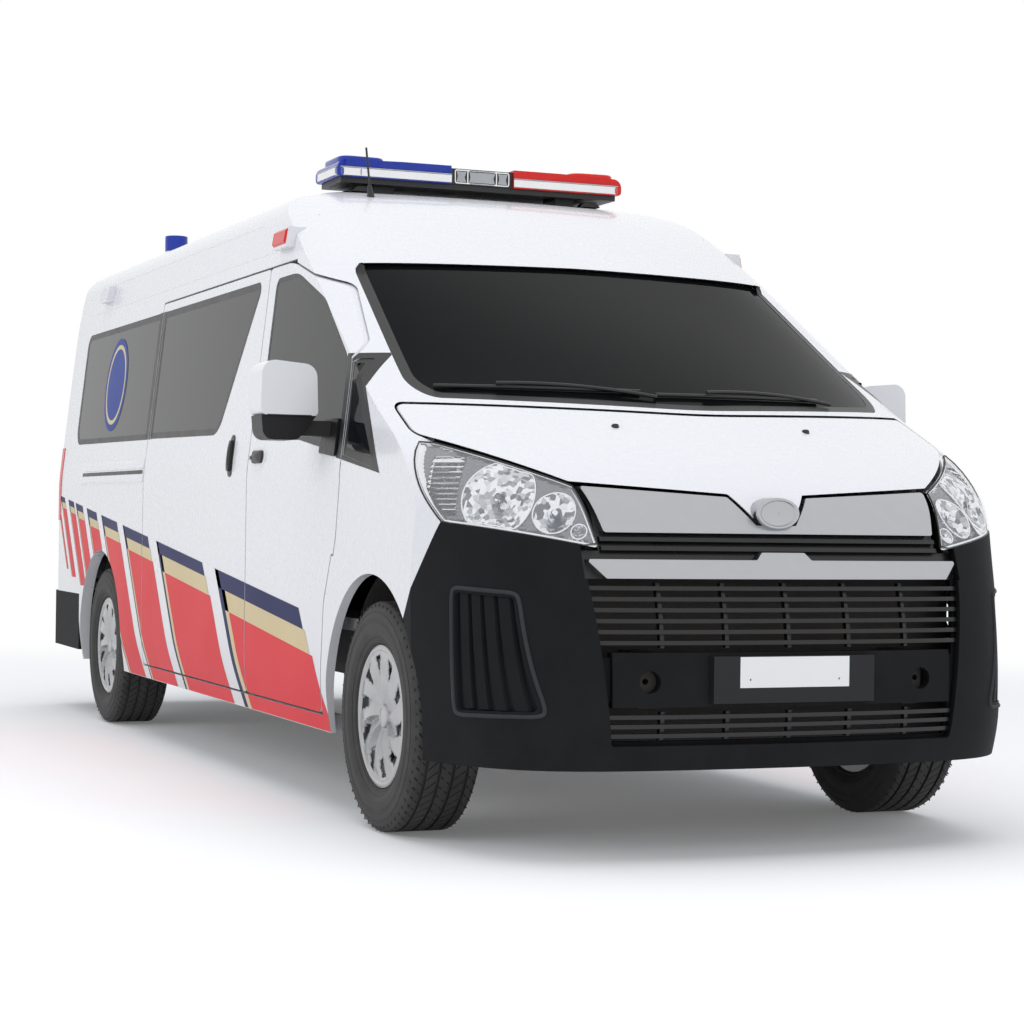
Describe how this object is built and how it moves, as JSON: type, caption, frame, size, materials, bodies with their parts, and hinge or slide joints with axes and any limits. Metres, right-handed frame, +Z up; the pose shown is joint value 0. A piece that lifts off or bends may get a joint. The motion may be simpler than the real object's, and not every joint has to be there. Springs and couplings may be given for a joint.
{
  "type": "ambulance van",
  "caption": "Long high-roof ambulance van: hollow cab and patient compartment, hinged front doors, bonnet and tailgate, closed sliding door, steered front wheels, roof light bar",
  "frame": {"origin": "on the ground under the middle of the vehicle's overall length and width", "axes": "+Z up, -Y is the front of the vehicle, its right side is -X"},
  "size_m": [2.4146, 5.915, 2.3511],
  "materials": {
    "body_paint": "glossy white",
    "dark_plastic": "textured dark grey plastic",
    "black_trim": "glossy black plastic",
    "bright_trim": "satin silver",
    "lamp_bowl": "dark silver reflector",
    "clear_lens": "clear polycarbonate",
    "glass": "tinted glass",
    "red_lens": "red lens",
    "blue_lens": "blue lens",
    "chassis_steel": "black chassis paint",
    "cast": "cast metal",
    "exhaust_steel": "dull steel",
    "wheel_silver": "silver paint",
    "tyre": "black rubber",
    "interior_plastic": "dark interior plastic",
    "interior_light": "light grey panel",
    "upholstery": "woven seat cloth",
    "mattress": "wipeable cover",
    "stretcher_metal": "bare aluminium"
  },
  "bodies": {
    "body": {"antenna": "dark_plastic", "arch_liners": "chassis_steel", "bench": "interior_light", "cab_seats": "upholstery", "chassis_frame": "chassis_steel", "dashboard": "interior_plastic", "door_pillars": "chassis_steel", "engine": "cast", "exhaust": "exhaust_steel", "floor": "interior_light", "front_bumper": "dark_plastic", "front_suspension": "chassis_steel", "front_wings": "body_paint", "fuel_tank": "chassis_steel", "grille": "black_trim", "grille_bars": "bright_trim", "headlamp_lenses": "clear_lens", "headlamps": "lamp_bowl", "light_bar_base": "body_paint", "light_bar_blue": "blue_lens", "light_bar_red": "red_lens", "partition": "interior_light", "plate_holder": "dark_plastic", "radiator": "chassis_steel", "rear_axle": "chassis_steel", "rear_bumper": "dark_plastic", "roof": "body_paint", "seat_bases": "interior_plastic", "side_glass": "glass", "side_wall_left": "body_paint", "side_wall_right": "body_paint", "sills": "dark_plastic", "sliding_door": "body_paint", "steering_wheel": "interior_plastic", "stretcher": "stretcher_metal", "stretcher_mattress": "mattress", "tail_lamps": "red_lens", "warning_lamps": "red_lens", "windscreen": "glass", "windscreen_frame": "body_paint"},
    "front_door_right": {"front_door_right": "body_paint", "front_door_glass_right": "glass", "mirror_right": "dark_plastic"},
    "front_door_left": {"front_door_left": "body_paint", "front_door_glass_left": "glass", "mirror_left": "dark_plastic"},
    "tailgate": {"tailgate": "body_paint", "tailgate_glass": "glass"},
    "bonnet": {"bonnet": "body_paint"},
    "knuckle_right": {"knuckle_right": "cast"},
    "knuckle_left": {"knuckle_left": "cast"},
    "wheel_front_right": {"rim_front_right": "wheel_silver", "tyre_front_right": "tyre"},
    "wheel_front_left": {"rim_front_left": "wheel_silver", "tyre_front_left": "tyre"},
    "wheel_rear_right": {"rim_rear_right": "wheel_silver", "tyre_rear_right": "tyre"},
    "wheel_rear_left": {"rim_rear_left": "wheel_silver", "tyre_rear_left": "tyre"}
  },
  "joints": [
    {"name": "front_door_right_hinge", "type": "hinge", "parent": "body", "child": "front_door_right", "pos_m": [-0.961, -1.6495, 0.9], "axis": [0, 0, 1], "range_deg": [0, 70]},
    {"name": "front_door_left_hinge", "type": "hinge", "parent": "body", "child": "front_door_left", "pos_m": [0.961, -1.6495, 0.9], "axis": [0, 0, -1], "range_deg": [0, 70]},
    {"name": "tailgate_hinge", "type": "hinge", "parent": "body", "child": "tailgate", "pos_m": [0, 2.7925, 2.012], "axis": [1, 0, 0], "range_deg": [0, 85]},
    {"name": "bonnet_hinge", "type": "hinge", "parent": "body", "child": "bonnet", "pos_m": [0, -1.9675, 1.31], "axis": [-1, 0, 0], "range_deg": [0, 50]},
    {"name": "steering_right", "type": "hinge", "parent": "body", "child": "knuckle_right", "pos_m": [-0.78, -2.0275, 0.356], "axis": [0, 0, 1], "range_deg": [-35, 35]},
    {"name": "steering_left", "type": "hinge", "parent": "body", "child": "knuckle_left", "pos_m": [0.78, -2.0275, 0.356], "axis": [0, 0, 1], "range_deg": [-35, 35]},
    {"name": "wheel_front_right_spin", "type": "hinge", "parent": "knuckle_right", "child": "wheel_front_right", "pos_m": [-0.8375, -2.0275, 0.356], "axis": [1, 0, 0], "continuous": true},
    {"name": "wheel_front_left_spin", "type": "hinge", "parent": "knuckle_left", "child": "wheel_front_left", "pos_m": [0.8375, -2.0275, 0.356], "axis": [1, 0, 0], "continuous": true},
    {"name": "wheel_rear_right_spin", "type": "hinge", "parent": "body", "child": "wheel_rear_right", "pos_m": [-0.835, 1.8325, 0.356], "axis": [1, 0, 0], "continuous": true},
    {"name": "wheel_rear_left_spin", "type": "hinge", "parent": "body", "child": "wheel_rear_left", "pos_m": [0.835, 1.8325, 0.356], "axis": [1, 0, 0], "continuous": true}
  ],
  "couplings": [
    {"joint": "steering_left", "follows": "steering_right", "ratio": 1}
  ]
}
